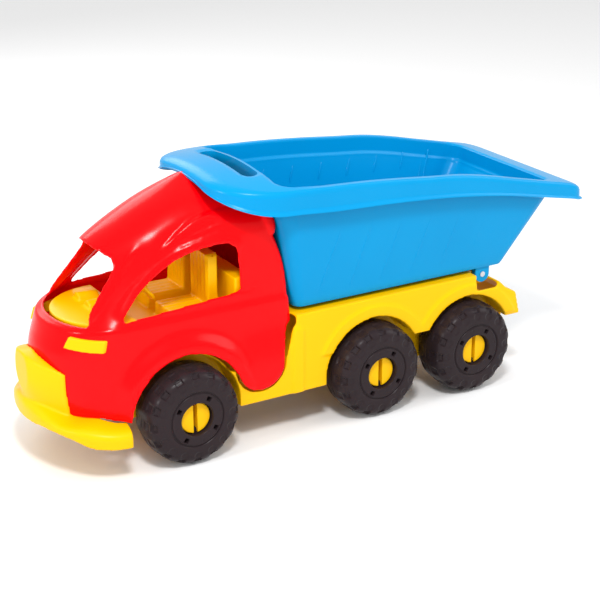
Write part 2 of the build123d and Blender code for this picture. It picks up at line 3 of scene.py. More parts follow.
import bpy
import numpy as np
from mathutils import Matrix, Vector


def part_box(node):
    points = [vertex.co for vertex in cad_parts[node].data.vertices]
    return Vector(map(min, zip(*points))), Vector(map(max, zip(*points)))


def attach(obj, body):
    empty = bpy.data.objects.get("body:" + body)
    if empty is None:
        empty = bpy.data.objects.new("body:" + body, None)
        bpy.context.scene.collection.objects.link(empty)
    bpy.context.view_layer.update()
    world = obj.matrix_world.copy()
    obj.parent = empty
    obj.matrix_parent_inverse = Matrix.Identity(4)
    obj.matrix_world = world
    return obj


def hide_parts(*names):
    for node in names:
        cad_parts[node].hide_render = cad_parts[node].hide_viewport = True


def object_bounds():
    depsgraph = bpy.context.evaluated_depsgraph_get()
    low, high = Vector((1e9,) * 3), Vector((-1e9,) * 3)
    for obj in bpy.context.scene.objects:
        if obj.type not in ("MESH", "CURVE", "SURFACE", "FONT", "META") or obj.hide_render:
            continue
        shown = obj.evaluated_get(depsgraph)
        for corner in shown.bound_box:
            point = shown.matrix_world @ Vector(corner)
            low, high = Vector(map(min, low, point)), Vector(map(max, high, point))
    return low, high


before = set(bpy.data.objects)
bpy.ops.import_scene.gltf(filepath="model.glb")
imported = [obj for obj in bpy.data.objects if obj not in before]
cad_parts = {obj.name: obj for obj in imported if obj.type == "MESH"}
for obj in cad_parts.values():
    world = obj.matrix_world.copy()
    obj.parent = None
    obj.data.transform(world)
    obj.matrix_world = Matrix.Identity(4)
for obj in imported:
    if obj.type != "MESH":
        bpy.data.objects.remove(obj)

cad_box = [list(corner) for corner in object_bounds()]
bpy.ops.object.select_all(action="DESELECT")

# ------------------------------------------------------------------ camera, light and floor
# The truck stands on a pale studio floor under one large soft box and two fill panels,
# seen from its left and a little above, with its nose towards the viewer.
TRUCK_MIDDLE = Vector((-0.0047, 0.0, 0.1077))
VIEW_AZIMUTH = math.radians(149.31)
VIEW_ELEVATION = math.radians(21.32)
VIEW_DISTANCE = 1.593
LENS = 90.1

back = Vector((math.sin(VIEW_AZIMUTH) * math.cos(VIEW_ELEVATION),
               -math.cos(VIEW_AZIMUTH) * math.cos(VIEW_ELEVATION),
               math.sin(VIEW_ELEVATION)))
bpy.ops.object.camera_add(location=TRUCK_MIDDLE + VIEW_DISTANCE * back)
camera = bpy.context.object
camera.name = "camera"
camera.data.lens = LENS
camera.data.sensor_width = 36.0
camera.rotation_euler = back.to_track_quat("Z", "Y").to_euler()
bpy.context.scene.camera = camera
bpy.context.scene.view_settings.view_transform = "Standard"


def soft_light(name, place, target, size, watts, colour=(1.0, 1.0, 1.0)):
    """A square area light at place that faces target."""
    bpy.ops.object.light_add(type="AREA", location=place)
    lamp = bpy.context.object
    lamp.name = name
    lamp.data.size = size
    lamp.data.energy = watts
    lamp.data.color = colour
    lamp.rotation_euler = (Vector(place) - Vector(target)).to_track_quat("Z", "Y").to_euler()


soft_light("key_box", (0.5, 0.9, 1.5), (0.0, 0.0, 0.1), 0.26, 17.0)
soft_light("nose_fill", (1.7, 0.3, 0.8), (0.1, 0.0, 0.1), 0.28, 8.0)
soft_light("far_fill", (-1.4, 0.8, 1.0), (-0.1, 0.0, 0.1), 0.9, 8.0)
soft_light("back_fill", (0.0, -1.4, 1.1), (0.0, 0.0, 0.1), 0.9, 8.0)

world = bpy.data.worlds.new("studio")
bpy.context.scene.world = world
world.use_nodes = True
world.node_tree.nodes["Background"].inputs["Color"].default_value = (1.0, 1.0, 1.0, 1.0)
world.node_tree.nodes["Background"].inputs["Strength"].default_value = 0.85

FLOOR_SIZE = 12.0
FLOOR_DROP = 0.0005
bpy.ops.mesh.primitive_plane_add(size=FLOOR_SIZE, location=(0, 0, -FLOOR_DROP))
floor = bpy.context.object
floor.name = "studio_floor"
paper = bpy.data.materials.new("pale_backdrop_paper")
paper.use_nodes = True
paper_shader = paper.node_tree.nodes["Principled BSDF"]
paper_shader.inputs["Base Color"].default_value = (0.88, 0.88, 0.88, 1.0)
paper_shader.inputs["Roughness"].default_value = 0.9
paper_shader.inputs["Specular IOR Level"].default_value = 0.1
floor.data.materials.append(paper)


# ------------------------------------------------------------------ moulded plastics
# Polypropylene and polyethylene, injection moulded in polished steel tools and coloured right
# through: an even colour, a clear gloss, faint flow waves and a grain drawn coarse enough to show.
def linear(hex_code):
    """An sRGB hex colour as linear RGB with full alpha."""
    parts = [int(hex_code[i:i + 2], 16) / 255.0 for i in (0, 2, 4)]
    rgb = [c / 12.92 if c <= 0.04045 else ((c + 0.055) / 1.055) ** 2.4 for c in parts]
    return tuple(rgb) + (1.0,)


def add_node(tree, kind, links=(), **settings):
    """Adds a node; settings name its sockets or properties, links are (socket, source socket)."""
    node = tree.nodes.new(kind)
    for name, value in settings.items():
        socket = node.inputs.get(name.replace("_", " "))
        if socket is not None:
            socket.default_value = value
        else:
            setattr(node, name, value)
    for name, source in links:
        tree.links.new(source, node.inputs[name])
    return node


def moulded_plastic(name, colour, deep_colour, roughness, wave_mm, grain_mm, bump_mm):
    """Moulded plastic: the colour drifts slightly, and waves and grain move the surface."""
    material = bpy.data.materials.new(name)
    material.use_nodes = True
    tree = material.node_tree
    shader = tree.nodes["Principled BSDF"]
    place = add_node(tree, "ShaderNodeTexCoord").outputs["Object"]
    drift = add_node(tree, "ShaderNodeTexNoise", [("Vector", place)],
                     Scale=1000.0 / (wave_mm * 3.0), Detail=2.0)
    tone = add_node(tree, "ShaderNodeMix", [("Factor", drift.outputs["Fac"])], data_type="RGBA")
    tone.inputs[6].default_value = linear(deep_colour)
    tone.inputs[7].default_value = linear(colour)
    waves = add_node(tree, "ShaderNodeTexNoise", [("Vector", place)],
                     Scale=1000.0 / wave_mm, Detail=1.0)
    grain = add_node(tree, "ShaderNodeTexNoise", [("Vector", place)],
                     Scale=1000.0 / grain_mm, Detail=3.0)
    gloss = add_node(tree, "ShaderNodeMapRange", [("Value", grain.outputs["Fac"])])
    gloss.inputs["To Min"].default_value = roughness * 0.8
    gloss.inputs["To Max"].default_value = roughness * 1.25
    rise = add_node(tree, "ShaderNodeBump", [("Height", waves.outputs["Fac"])],
                    Strength=0.12, Distance=bump_mm / 1000.0)
    fine = add_node(tree, "ShaderNodeBump",
                    [("Height", grain.outputs["Fac"]), ("Normal", rise.outputs["Normal"])],
                    Strength=0.10, Distance=0.0001)
    tree.links.new(tone.outputs[2], shader.inputs["Base Color"])
    tree.links.new(gloss.outputs["Result"], shader.inputs["Roughness"])
    tree.links.new(fine.outputs["Normal"], shader.inputs["Normal"])
    shader.inputs["IOR"].default_value = 1.49
    shader.inputs["Specular IOR Level"].default_value = 0.13
    return material


# name, colour, deeper colour, roughness, then waves, grain and wave height in millimetres
red_plastic = moulded_plastic("gloss_red_polypropylene", "FB0008", "F20006", 0.18, 26, 0.9, 0.8)
blue_plastic = moulded_plastic("gloss_blue_polypropylene", "0094CE", "008CC6", 0.24, 30, 0.9, 0.8)
yellow_plastic = moulded_plastic("satin_yellow_polypropylene", "F6BF00", "F1B600", 0.32, 24, 0.9, 0.6)
dark_plastic = moulded_plastic("brown_black_polyethylene", "2E2427", "251D1F", 0.30, 14, 1.2, 0.8)


def wear(piece, material):
    """Gives a piece one material in place of any it has."""
    piece.data.materials.clear()
    piece.data.materials.append(material)


def smooth(piece, degrees=35):
    """Smooth shading, except across edges sharper than this."""
    bpy.ops.object.select_all(action="DESELECT")
    piece.select_set(True)
    bpy.context.view_layer.objects.active = piece
    bpy.ops.object.shade_smooth_by_angle(angle=math.radians(degrees))
    piece.select_set(False)


def apply_modifiers(piece):
    """Applies the piece's modifiers in order."""
    bpy.ops.object.select_all(action="DESELECT")
    piece.select_set(True)
    bpy.context.view_layer.objects.active = piece
    for modifier in list(piece.modifiers):
        bpy.ops.object.modifier_apply(modifier=modifier.name)
    piece.select_set(False)


# ------------------------------------------------------------------ cab shell
# One red polypropylene moulding, open below: nose, doors, roof and window frames in one piece
# with a 2.5 mm wall. It drops over the chassis and is screwed to it from below.
MM = 0.001
axle_low, axle_high = (Vector(corner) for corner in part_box("front_axle"))
front_axle = (axle_low + axle_high) / 2
FRONT_X = front_axle.x / MM
AXLE_Z = front_axle.z / MM
WALL = 2.5
FLANK_Y = 67.5
FOOT_Z = 40.0
BELT_Z = 147.0
DOME_Z = 215.0
DOME_RISE = 55.0
FENDER_R = 61.0
# shares of the height below and above the brow, then of the half outline: nose, side and back
BROW_SHARE = 0.68
CROWN_SHARE = 0.32
BEND_SHARE = 0.52
SIDE_SHARE = 0.32
BACK_SHARE = 0.16
# the rounded foot behind the front wheel
LOBE_R = 27.0
LOBE_TURN = math.radians(158)
FOOT_HALF = 75.5


def through(knots, values, at):
    """Smooth curve through values given at rising knots, a Hermite curve piece by piece."""
    k = np.array(knots, float)
    v = np.array(values, float)
    slope = np.gradient(v, k)
    i = np.clip(np.searchsorted(k, at) - 1, 0, len(k) - 2)
    h = k[i + 1] - k[i]
    u = (at - k[i]) / h
    return ((2 * u**3 - 3 * u**2 + 1) * v[i] + (u**3 - 2 * u**2 + u) * h * slope[i]
            + (3 * u**2 - 2 * u**3) * v[i + 1] + (u**3 - u**2) * h * slope[i + 1])


def step(low, high, at):
    """Rises smoothly from 0 at low to 1 at high."""
    u = np.clip((at - low) / (high - low), 0.0, 1.0)
    return u * u * (3 - 2 * u)


def cab_plan(z):
    """Rear edge, bend, tip and half-width of the cab's plan at height z, in millimetres."""
    rise = np.clip((z - DOME_Z) / DOME_RISE, 0.0, 1.0)
    lean = np.cos(np.arcsin(rise))
    shrink = np.maximum(lean ** 1.3, 0.82 * lean)
    back = through([40, 120, 185, 229, 245, 270], [48, 48, 55, 72, 78, 86], z)
    low_tip = through([40, 56, 96, 120, 135, 146], [290, 291, 296, 294, 289, 285], z)
    high_tip = through([147, 166, 192, 210, 222, 235, 245, 259, 270],
                       [278, 272, 259, 246, 228, 205, 186, 155, 130], z)
    belt = step(BELT_Z - 1.5, BELT_Z + 1.5, z)
    tip = low_tip * (1 - belt) + high_tip * belt
    low_bend = through([40, 100, 146], [214, 216, 225], z)
    high_bend = through([147, 165, 202, 235, 270], [232, 175, 76, 66, 87], z)
    bend = low_bend * (1 - belt) + high_bend * belt
    low_half = through([40, 56, 96, 130, 146], [FOOT_HALF, FOOT_HALF, 74, 71, 69.5], z)
    high_half = 66.8 * shrink
    half = low_half * (1 - belt) + high_half * belt
    return back, bend, tip, half


def cab_skin(level, around):
    """Point of the cab's outer skin: level 0 to 1 from foot to crown, around -1 to 1."""
    crown = (level - BROW_SHARE) / CROWN_SHARE * math.pi / 2
    z = np.where(level < BROW_SHARE, FOOT_Z + (DOME_Z - FOOT_Z) * level / BROW_SHARE,
                 DOME_Z + DOME_RISE * np.sin(crown))
    back, bend, tip, half = cab_plan(z)
    share = np.abs(around)
    turn = (1 - np.clip(share / BEND_SHARE, 0, 1)) * math.pi / 2
    along = np.clip((share - BEND_SHARE) / SIDE_SHARE, 0, 1)
    across = np.clip((1 - share) / BACK_SHARE, 0, 1)
    nose = share < BEND_SHARE
    x = np.where(nose, bend + (tip - bend) * np.sin(turn), bend - (bend - back) * along)
    y = half * np.where(nose, np.cos(turn), across) * np.sign(around)
    return x, y, z


def fender_swell(x, z):
    """How far the sides swell outwards: over the front wheel and towards the rounded foot."""
    reach = np.hypot(x - FRONT_X, z - AXLE_Z)
    band = 1 - step(FENDER_R + 8, FENDER_R + 24, reach)
    arch = 7.5 * band * step(FRONT_X + 78, FRONT_X + 56, x)
    foot = 6.0 * step(125, 70, z) * step(FRONT_X - 50, FRONT_X - 75, x)
    return np.maximum(arch, foot)


def grid_piece(name, across, along):
    """A new flat grid of across by along points, with its two coordinates from -1 to 1."""
    bpy.ops.object.select_all(action="DESELECT")
    bpy.ops.mesh.primitive_grid_add(x_subdivisions=across - 1, y_subdivisions=along - 1, size=2.0)
    piece = bpy.context.object
    piece.name = name
    piece.data.name = name
    flat = np.empty(3 * across * along)
    piece.data.vertices.foreach_get("co", flat)
    flat = flat.reshape(-1, 3)
    return piece, flat[:, 0], flat[:, 1]


def move_points(piece, x, y, z):
    """Sets a mesh's points, given in millimetres."""
    piece.data.vertices.foreach_set("co", (np.stack([x, y, z], 1) * MM).ravel())
    piece.data.update()


def edit(piece):
    """Goes into edit mode on one piece with everything selected."""
    bpy.ops.object.select_all(action="DESELECT")
    piece.select_set(True)
    bpy.context.view_layer.objects.active = piece
    bpy.ops.object.mode_set(mode="EDIT")
    bpy.ops.mesh.select_all(action="SELECT")


def prism(name, outline, low, high, direction="Y"):
    """An outline in x and z (or y and z, or x and y) swept from low to high along an axis."""
    mesh = bpy.data.meshes.new(name)
    order = {"Y": lambda a, b, c: (a, c, b),
             "X": lambda a, b, c: (c, a, b),
             "Z": lambda a, b, c: (a, b, c)}
    place = order[direction]
    count = len(outline)
    points = [place(a, b, c) for c in (low, high) for a, b in outline]
    faces = [tuple(range(count)), tuple(range(2 * count - 1, count - 1, -1))]
    faces += [(i, i + count, (i + 1) % count + count, (i + 1) % count) for i in range(count)]
    mesh.from_pydata([(x * MM, y * MM, z * MM) for x, y, z in points], [], faces)
    piece = bpy.data.objects.new(name, mesh)
    bpy.context.collection.objects.link(piece)
    edit(piece)
    bpy.ops.mesh.normals_make_consistent(inside=False)
    bpy.ops.object.mode_set(mode="OBJECT")
    return piece


def cut(piece, cutters):
    """Cuts the shapes of the cutters away from a piece and deletes the cutters."""
    for cutter in cutters:
        blade = piece.modifiers.new("cut", "BOOLEAN")
        blade.object = cutter
        blade.operation = "DIFFERENCE"
        blade.solver = "EXACT"
    apply_modifiers(piece)
    for cutter in cutters:
        bpy.data.objects.remove(cutter)


def drop_caps(piece, longest):
    """Deletes the large flat faces that cutters leave inside an open skin."""
    edit(piece)
    bpy.ops.mesh.select_all(action="DESELECT")
    bpy.ops.object.mode_set(mode="OBJECT")
    for face in piece.data.polygons:
        corners = [piece.data.vertices[i].co for i in face.vertices]
        spans = [(a - b).length for a, b in zip(corners, corners[1:] + corners[:1])]
        face.select = max(spans) > longest * MM
    bpy.ops.object.mode_set(mode="EDIT")
    bpy.ops.mesh.delete(type="FACE")
    bpy.ops.object.mode_set(mode="OBJECT")


def arc_points(cx, cz, radius, start, end, count):
    """Points along an arc, angles in degrees."""
    turns = [math.radians(start + (end - start) * i / (count - 1)) for i in range(count)]
    return [(cx + radius * math.cos(t), cz + radius * math.sin(t)) for t in turns]


def soften(piece, voxel_mm, passes):
    """Rounds every edge like a moulding: an even fine remesh, then a few smoothing passes."""
    remesh = piece.modifiers.new("even_mesh", "REMESH")
    remesh.mode = "VOXEL"
    remesh.voxel_size = voxel_mm * MM
    relax = piece.modifiers.new("round_edges", "SMOOTH")
    relax.factor = 0.5
    relax.iterations = passes
    apply_modifiers(piece)
    smooth(piece, 60)


def line_distance(x, z, line):
    """Distance from points to a bent line in side view, positive below it, and place along it."""
    best = np.full(x.shape, 1e9)
    side = np.ones(x.shape)
    place = np.zeros(x.shape)
    spans = list(zip(line[:-1], line[1:]))
    for i, ((x0, z0), (x1, z1)) in enumerate(spans):
        dx, dz = x1 - x0, z1 - z0
        t = np.clip(((x - x0) * dx + (z - z0) * dz) / (dx * dx + dz * dz), 0, 1)
        gap = np.hypot(x - x0 - t * dx, z - z0 - t * dz)
        nearer = gap < best
        turn = np.sign(dx * (z - z0) - dz * (x - x0))
        best = np.where(nearer, gap, best)
        side = np.where(nearer, turn, side)
        place = np.where(nearer, (i + t) / len(spans), place)
    return best * side, place


def push_out(piece, amount):
    """Moves each point along its normal by an amount in millimetres."""
    count = len(piece.data.vertices)
    normals = np.empty(3 * count)
    piece.data.vertex_normals.foreach_get("vector", normals)
    places = np.empty(3 * count)
    piece.data.vertices.foreach_get("co", places)
    moved = places.reshape(-1, 3) + normals.reshape(-1, 3) * (amount * MM)[:, None]
    piece.data.vertices.foreach_set("co", moved.ravel())
    piece.data.update()


def points_of(piece):
    """A mesh's points in millimetres, as three arrays."""
    flat = np.empty(3 * len(piece.data.vertices))
    piece.data.vertices.foreach_get("co", flat)
    flat = flat.reshape(-1, 3) / MM
    return flat[:, 0], flat[:, 1], flat[:, 2]


# the side window: a rising sill and one long arched top, from its front corner
WINDOW = [(229, 152), (222, 161), (208, 175), (196, 184.5), (183, 193), (171, 200), (159, 205),
          (147, 208.5), (136, 210.5), (124, 211.5), (114, 211), (107.5, 207), (104.5, 200),
          (103, 180), (102, 160.5)]
# one side of the windscreen, from its foot up, seen from the front
SCREEN_SIDE = [(51, 149.6), (45.5, 161), (42, 175), (40, 188), (38, 200), (34, 207), (25, 212),
               (12, 215.5)]
# the sculpted scoops on each side of the roof, front end first
UPPER_SCOOP = [(186, 205), (176, 216), (163, 227), (150, 235), (138, 240), (119, 244), (98, 243)]
MIDDLE_SCOOP = [(178, 209), (164, 217), (148, 224), (130, 230), (110, 233)]
LOWER_SCOOP = [(172, 210.5), (160, 215), (146, 219.5), (128, 224), (106, 226)]
PILLAR = [(262, 150), (255, 156), (241, 171), (224, 190), (208, 207), (196, 218)]

cab, around, level = grid_piece("cab_moulding", 321, 191)
x, y, z = cab_skin((level + 1) / 2, around)
side = np.abs(y) / FLANK_Y
y = y + np.sign(y) * fender_swell(x, z) * step(0.5, 0.92, side)
move_points(cab, x, y, z)
edit(cab)
bpy.ops.mesh.remove_doubles(threshold=0.00002)
bpy.ops.mesh.normals_make_consistent(inside=False)
bpy.ops.object.mode_set(mode="OBJECT")

x, y, z = points_of(cab)
push = np.zeros(len(x))
flank = step(24, 40, np.abs(y)) * step(84, 128, x)
# each scoop's line, depth and how fast it fades below the line
for line, depth, fade in ((UPPER_SCOOP, 3.4, 9.0), (MIDDLE_SCOOP, 2.2, 4.5), (LOWER_SCOOP, 2.2, 4.0)):
    gap, place = line_distance(x, z, line)
    below = -gap
    taper = step(0.0, 0.3, place) * step(1.0, 0.75, place)
    hollow = np.where(below > 0, np.exp(-below / fade), step(-1.6, 0, below))
    push -= depth * flank * taper * hollow
# a raised lip over the side window
gap, place = line_distance(x, z, WINDOW[:12])
push += 1.6 * step(8.5, 5.5, np.abs(gap)) * (np.abs(y) > 40) * step(0.0, 0.08, place)
# a short groove that carries the sill on towards the back
gap, place = line_distance(x, z, [(104, 159.5), (92, 160.4), (82, 161.2)])
push -= 1.3 * step(1.8, 0.2, np.abs(gap)) * (np.abs(y) > 60) * step(1.0, 0.8, place)
# the ridge that runs down each front pillar
gap, place = line_distance(x, z, PILLAR)
pillar = step(34, 38, np.abs(y)) * step(62, 56, np.abs(y)) * step(149, 153, z)
push += 1.6 * pillar * np.exp(-((gap + 1.0) / 3.2) ** 2) * step(1.0, 0.8, place)
push -= 0.8 * pillar * np.exp(-((gap - 4.5) / 2.2) ** 2) * step(1.0, 0.8, place)
push_out(cab, push)

lobe_x = FRONT_X + (FENDER_R + LOBE_R) * math.cos(LOBE_TURN)
lobe_z = AXLE_Z + (FENDER_R + LOBE_R) * math.sin(LOBE_TURN)
# what is cut away below the nose, in the wheel arch, and round the rounded foot up to the deck
foot = [(FRONT_X + FENDER_R, 54), (FRONT_X + 74, 55), (FRONT_X + 84, 58), (FRONT_X + 140, 59.5),
        (FRONT_X + 140, -20), (20, -20), (20, 121), (48.5, 121), (52, 117.5), (55, 110)]
foot += arc_points(lobe_x, lobe_z, LOBE_R, 180, 338, 24)
foot += arc_points(FRONT_X, AXLE_Z, FENDER_R, 157, 0, 40)[1:]
windscreen = [(0, 149.6)] + [(-w, z) for w, z in SCREEN_SIDE] + [(0, 216.5)] + SCREEN_SIDE[::-1]
cut(cab, [prism("foot_cut", foot, -110, 110),
          prism("window_cut", WINDOW, -110, 110),
          prism("screen_cut", windscreen, FRONT_X + 12, 330, "X"),
          prism("deck_cut", [(40, -63), (60, -63), (60, 63), (40, 63)], -20, 128, "Z")])
drop_caps(cab, 12.0)
shell = cab.modifiers.new("wall", "SOLIDIFY")
shell.thickness = WALL * MM
shell.offset = -1.0
apply_modifiers(cab)
soften(cab, 1.7, 4)
wear(cab, red_plastic)
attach(cab, "truck")
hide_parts("cab_shell")


# ------------------------------------------------------------------ wheels
# Each wheel is two tough polyethylene halves hooked together at mid width: a side face with a
# hub recess, a ring groove and four square hook holes, and a tread with moulded pits.
WHEEL_R = 50.0
WHEEL_W = 46.0
PITS = 16
PITCH = 2 * math.pi / PITS
HOOK_R = 23.0
HOOK_HALF = 1.7
HOOK_DEPTH = 6.0
HOOK_TURN = math.radians(33)
DIMPLE_R = 24.0
HUB_EDGE_R = 18.0
FACE_W = 44.0
# section of a half: radius, and distance from the wheel's other side, from the bore round to the tread
SHOULDER = [(35, 46), (38, 45.9), (40.5, 45.6), (42.6, 44.9), (44.6, 43.8), (46.3, 42.3), (47.7, 40.2),
            (48.7, 37.6), (49.4, 34.6), (49.8, 31), (50, 27), (50, 23)]
HUB_RECESS = [(12.6, 23), (12.6, 37.4), (13.2, 37.6), (16.9, 37.6), (17.2, 38.2), (17.2, 45.2),
              (17.5, 45.8), (18.2, 46)]
RING_GROOVE = [(26.4, 46), (27.0, 45.7), (27.3, 44.8), (28.6, 44.6), (29.1, 45.5), (29.8, 46)]
OUTER_PROFILE = HUB_RECESS + RING_GROOVE + SHOULDER
INNER_PROFILE = [(12.6, 23), (12.6, 45.4), (13.2, 46), (24, 46)] + SHOULDER


def bump(distance, half_width, edge):
    """One inside half_width, falling smoothly to nothing over edge beyond it."""
    return step(half_width + edge, half_width, np.abs(distance))


def wheel_half(name, profile, around, hub, mirror):
    """A closed ring of tyre from its half section; mirror turns it into an inner half."""
    fine = []
    for (r0, w0), (r1, w1) in zip(profile[:-1], profile[1:]):
        spacing = 0.75 if r1 > HUB_EDGE_R or hub else 1.2
        count = max(1, int(math.hypot(r1 - r0, w1 - w0) / spacing))
        fine += [(r0 + (r1 - r0) * i / count, w0 + (w1 - w0) * i / count) for i in range(count)]
    fine.append(profile[-1])
    section = np.array(fine)
    run = np.concatenate([[0], np.cumsum(np.hypot(*np.diff(section, axis=0).T))])
    rows = len(section)
    turns = around
    turn = np.repeat(np.arange(turns) * 2 * math.pi / turns, rows)
    r = np.tile(section[:, 0], turns)
    w = np.tile(section[:, 1], turns)
    s = np.tile(run[-1] - run, turns)
    off = (turn / PITCH - np.round(turn / PITCH)) * PITCH
    slope_r = np.gradient(section[:, 0], run)
    slope_w = np.gradient(section[:, 1], run)
    length = np.hypot(slope_w, slope_r)
    out_r = np.tile(-slope_w / length, turns)
    out_w = np.tile(slope_r / length, turns)
    across = off * r
    # pits on the tread and shoulder, a round one beside them on the side face, and a faint scallop
    sink = 1.0 * bump(across, 3.2, 1.6) * bump(s - 10.5, 3.4, 1.6)
    sink += 2.3 * bump(across, 3.4, 0.9) * bump(s - 20.6, 3.0, 0.9)
    sink += 0.8 * bump(np.hypot(across, s - 28.2), 3.4, 1.2)
    sink += 0.5 * (0.5 + 0.5 * np.cos(off * 2 * math.pi / PITCH)) * step(32, 16, s)
    if hub:
        for i in range(4):
            place = HOOK_TURN + i * math.pi / 2
            swing = (turn - place + math.pi) % (2 * math.pi) - math.pi
            hole = bump(swing * HOOK_R, HOOK_HALF, 0.5) * bump(r - HOOK_R, HOOK_HALF, 0.5)
            sink += HOOK_DEPTH * hole * (w > FACE_W)
            swing = (turn - place - math.pi / 4 + math.pi) % (2 * math.pi) - math.pi
            dimple = bump(np.hypot(swing * DIMPLE_R, r - DIMPLE_R), 0.6, 0.5)
            sink += 0.5 * dimple * (w > FACE_W)
    row = np.tile(np.arange(rows), turns)
    joint = (row == 0) | (row == rows - 1)
    sink = np.where(joint | (r < HUB_EDGE_R), 0.0, sink)
    r = r - out_r * sink
    w = w - out_w * sink
    side = -1.0 if mirror else 1.0
    x = r * np.cos(turn)
    z = r * np.sin(turn)
    y = WHEEL_W / 2 + side * (w - WHEEL_W / 2)
    faces = []
    for i in range(turns):
        j = (i + 1) % turns
        faces += [(i * rows + k, i * rows + (k + 1) % rows, j * rows + (k + 1) % rows, j * rows + k)
                  for k in range(rows)]
    mesh = bpy.data.meshes.new(name)
    mesh.from_pydata(np.stack([x, y, z], 1) * MM, [], faces)
    half = bpy.data.objects.new(name, mesh)
    bpy.context.collection.objects.link(half)
    edit(half)
    bpy.ops.mesh.normals_make_consistent(inside=False)
    bpy.ops.object.mode_set(mode="OBJECT")
    smooth(half, 50)
    wear(half, dark_plastic)
    return half


def copied(piece, name, shift, turned):
    """A copy with its own mesh, turned half a turn about the vertical if asked, then moved."""
    mesh = piece.data.copy()
    mesh.name = name
    flat = np.empty(3 * len(mesh.vertices))
    mesh.vertices.foreach_get("co", flat)
    places = flat.reshape(-1, 3)
    if turned:
        places[:, :2] *= -1.0
    mesh.vertices.foreach_set("co", (places + np.array(shift)).ravel())
    mesh.update()
    other = bpy.data.objects.new(name, mesh)
    bpy.context.collection.objects.link(other)
    return other


AROUND_OUTER = 16 * PITS
AROUND_INNER = 10 * PITS
outer_half = wheel_half("tyre_outer", OUTER_PROFILE, AROUND_OUTER, True, False)
inner_half = wheel_half("tyre_inner", INNER_PROFILE, AROUND_INNER, False, True)
inside = abs(cad_box[1][1]) - WHEEL_W * MM
for place in ("front", "middle", "rear"):
    for hand in ("left", "right"):
        body = "wheel_" + place + "_" + hand
        low, high = (Vector(corner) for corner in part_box(body + "_outer"))
        middle = (low + high) / 2
        shift = (middle.x, inside if hand == "left" else -inside, middle.z)
        for half, kind in ((outer_half, "outer"), (inner_half, "inner")):
            name = "tyre_" + place + "_" + hand + "_" + kind
            wheel = copied(half, name, shift, hand == "right")
            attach(wheel, body)
            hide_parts(body + "_" + kind)
bpy.data.objects.remove(outer_half)
bpy.data.objects.remove(inner_half)


# ------------------------------------------------------------------ dump bed
# One blue polypropylene moulding with a 2.5 mm wall: a sloping tub, a rolled rim whose skirt
# hangs outside it, a crowned visor with a hand slot, and lugs that turn on the hinge rod.
BED_FLOOR = 134.5
HALF = 97.5
FLOOR_MIDDLE = -88.0
RIM_TO_WALL = 21.0
TUB_ROUND = 2.2
RIM_ROUND = 5.5
SLOT_X = 79.0
SLOT_HALF = 42.0
SLOT_R = 9.0
LUG_R = 9.0
LUG_IN = 63.5
LUG_OUT = 69.5
LUG_TOP = 133.0
ROD_HOLE_R = 3.08
RUNNER_IN = 36.0
RUNNER_OUT = 42.0
RUNNER_END = 31.0
RUNNER_Z = 128.4
RUNNER_TOP = 132.6
RIB_LEAN = 0.31
RIB_PITCH = 37.0
# grid rows where the floor, wall, step, rim and skirt of the bed end
FLOOR_ROW = 12
WALL_ROW = 56
STEP_ROW = 72
RIM_ROW = 100
SKIRT_ROW = 120


def bed_top(x, y):
    """Height of the rim's top: it falls towards the tail and is crowned over the cab."""
    line = through([-310, -298, -248, -212, -174, -143, -102, -62, -20, 57, 140],
                   [210.5, 214.5, 226, 234, 242.5, 248, 252, 256, 259.3, 262.2, 262.2], x)
    return line + 13.4 * (1 - (y / HALF) ** 2) * step(16, 62, x)


def skirt_depth(x, y):
    """How far the rim's skirt hangs down outside."""
    side = bed_top(x, HALF) - through([-310, -263, -196, -137, -60, 10, 57, 140],
                                      [196, 205.5, 218.5, 226.8, 233, 236, 239, 239], x)
    front = 6.5 + 17.5 * (np.abs(y) / HALF) ** 2
    ahead = step(57, 76, x)
    return side * (1 - ahead) + front * ahead


def bed_loop(share, front, rear, half, nose_x, nose_y, tail):
    """Plan loop: a straight front and tail, elliptical front corners and round tail corners."""
    s = np.abs(share)
    quarter = math.pi / 2
    front_turn = np.clip((s - 0.10) / 0.22, 0, 1) * quarter
    rear_turn = np.clip((s - 0.76) / 0.08, 0, 1) * quarter
    along = np.clip((s - 0.32) / 0.44, 0, 1)
    back = np.clip((s - 0.84) / 0.16, 0, 1)
    flat = half - nose_y
    x = front - nose_x + nose_x * np.cos(front_turn)
    x = np.where(s > 0.32, (front - nose_x) * (1 - along) + (rear + tail) * along, x)
    x = np.where(s > 0.76, rear + tail - tail * np.sin(rear_turn), x)
    y = np.where(s < 0.10, flat * s / 0.10, flat + nose_y * np.sin(front_turn))
    y = np.where(s > 0.76, half - tail + tail * np.cos(rear_turn), y)
    y = np.where(s > 0.84, (half - tail) * (1 - back), y)
    return x, y * np.sign(share)


bed, share, level = grid_piece("bed_moulding", 401, SKIRT_ROW + 1)
row = (level + 1) / 2 * SKIRT_ROW
foot_x, foot_y = bed_loop(share, 40.5, -217.5, 70, 8, 8, 8)
wall_x, wall_y = bed_loop(share, 64.5, -264, 84.8, 15, 15, 15)
band_x, band_y = bed_loop(share, 66.5, -266, 86.8, 16, 17, 17)
edge_x, edge_y = bed_loop(share, 129.5, -307.0, 95.6, 71, 54, 15)
lip_x, lip_y = bed_loop(share, 131, -310, HALF, 71, 54, 15)
# the floor, out from its middle
shrink = np.clip(row / FLOOR_ROW, 0, 1)
x = FLOOR_MIDDLE + (foot_x - FLOOR_MIDDLE) * shrink
y = foot_y * shrink
z = np.full(len(x), BED_FLOOR)
